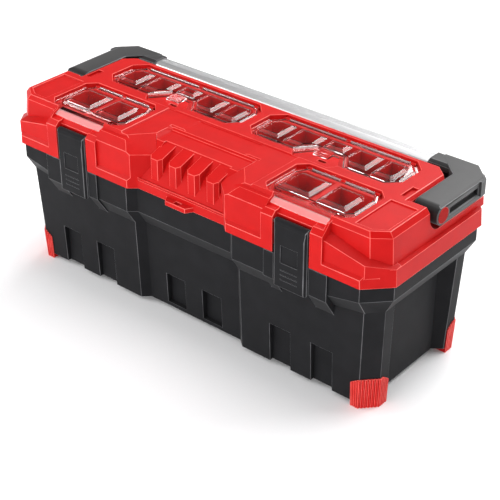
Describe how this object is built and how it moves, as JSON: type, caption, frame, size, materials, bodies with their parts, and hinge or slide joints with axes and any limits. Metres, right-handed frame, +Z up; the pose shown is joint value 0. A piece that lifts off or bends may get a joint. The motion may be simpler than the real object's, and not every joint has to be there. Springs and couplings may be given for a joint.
{
  "type": "tool box",
  "caption": "Long plastic tool box with a hinged lid, small-parts organisers under clear covers, front latches and a folding carry handle.",
  "frame": {"origin": "on the floor under the middle of the box", "axes": "+X to the right end seen from the front, -Y to the front with the latches, +Z up"},
  "size_m": [0.752, 0.298, 0.3046],
  "materials": {
    "black_plastic": "fine moulded grain",
    "red_plastic": "satin moulded",
    "clear_plastic": "clear polished",
    "aluminium": "drawn, satin anodised",
    "steel": "plain"
  },
  "bodies": {
    "base": {"base_shell": "black_plastic", "foot_front_right": "red_plastic", "foot_front_left": "red_plastic", "foot_rear_right": "red_plastic", "foot_rear_left": "red_plastic", "hinge_pin_right": "steel", "hinge_pin_left": "steel"},
    "lid": {"lid_shell": "red_plastic", "tub_rear_right": "red_plastic", "tub_rear_left": "red_plastic", "tub_front_right": "red_plastic", "tub_front_left": "red_plastic", "latch_pin_right": "steel", "latch_pin_left": "steel", "cover_pin_rear_right": "steel", "cover_pin_rear_left": "steel", "cover_pin_front_right": "steel", "cover_pin_front_left": "steel", "pivot_pin_right": "steel", "pivot_pin_left": "steel"},
    "latch_right": {"latch_right": "black_plastic"},
    "latch_left": {"latch_left": "black_plastic"},
    "cover_rear_right": {"cover_rear_right": "clear_plastic"},
    "cover_rear_left": {"cover_rear_left": "clear_plastic"},
    "cover_front_right": {"cover_front_right": "clear_plastic"},
    "cover_front_left": {"cover_front_left": "clear_plastic"},
    "handle": {"handle_rail": "aluminium", "handle_arm_right": "black_plastic", "handle_arm_left": "black_plastic", "pivot_cap_right": "red_plastic", "pivot_cap_left": "red_plastic"}
  },
  "joints": [
    {"name": "lid_hinge", "type": "hinge", "parent": "base", "child": "lid", "pos_m": [0, 0.1448, 0.222], "axis": [-1, 0, 0], "range_deg": [0, 100]},
    {"name": "handle_fold", "type": "hinge", "parent": "lid", "child": "handle", "pos_m": [0, 0.004, 0.2865], "axis": [1, 0, 0], "range_deg": [0, 90]},
    {"name": "latch_right_swing", "type": "hinge", "parent": "lid", "child": "latch_right", "pos_m": [0.2205, -0.141, 0.274], "axis": [-1, 0, 0], "range_deg": [0, 95]},
    {"name": "latch_left_swing", "type": "hinge", "parent": "lid", "child": "latch_left", "pos_m": [-0.2205, -0.141, 0.274], "axis": [-1, 0, 0], "range_deg": [0, 95]},
    {"name": "cover_rear_right_lift", "type": "hinge", "parent": "lid", "child": "cover_rear_right", "pos_m": [0.15, 0.0846, 0.2982], "axis": [-1, 0, 0], "range_deg": [0, 95]},
    {"name": "cover_rear_left_lift", "type": "hinge", "parent": "lid", "child": "cover_rear_left", "pos_m": [-0.15, 0.0846, 0.2982], "axis": [-1, 0, 0], "range_deg": [0, 95]},
    {"name": "cover_front_right_lift", "type": "hinge", "parent": "lid", "child": "cover_front_right", "pos_m": [0.22, -0.0234, 0.2982], "axis": [-1, 0, 0], "range_deg": [0, 88]},
    {"name": "cover_front_left_lift", "type": "hinge", "parent": "lid", "child": "cover_front_left", "pos_m": [-0.22, -0.0234, 0.2982], "axis": [-1, 0, 0], "range_deg": [0, 88]}
  ]
}
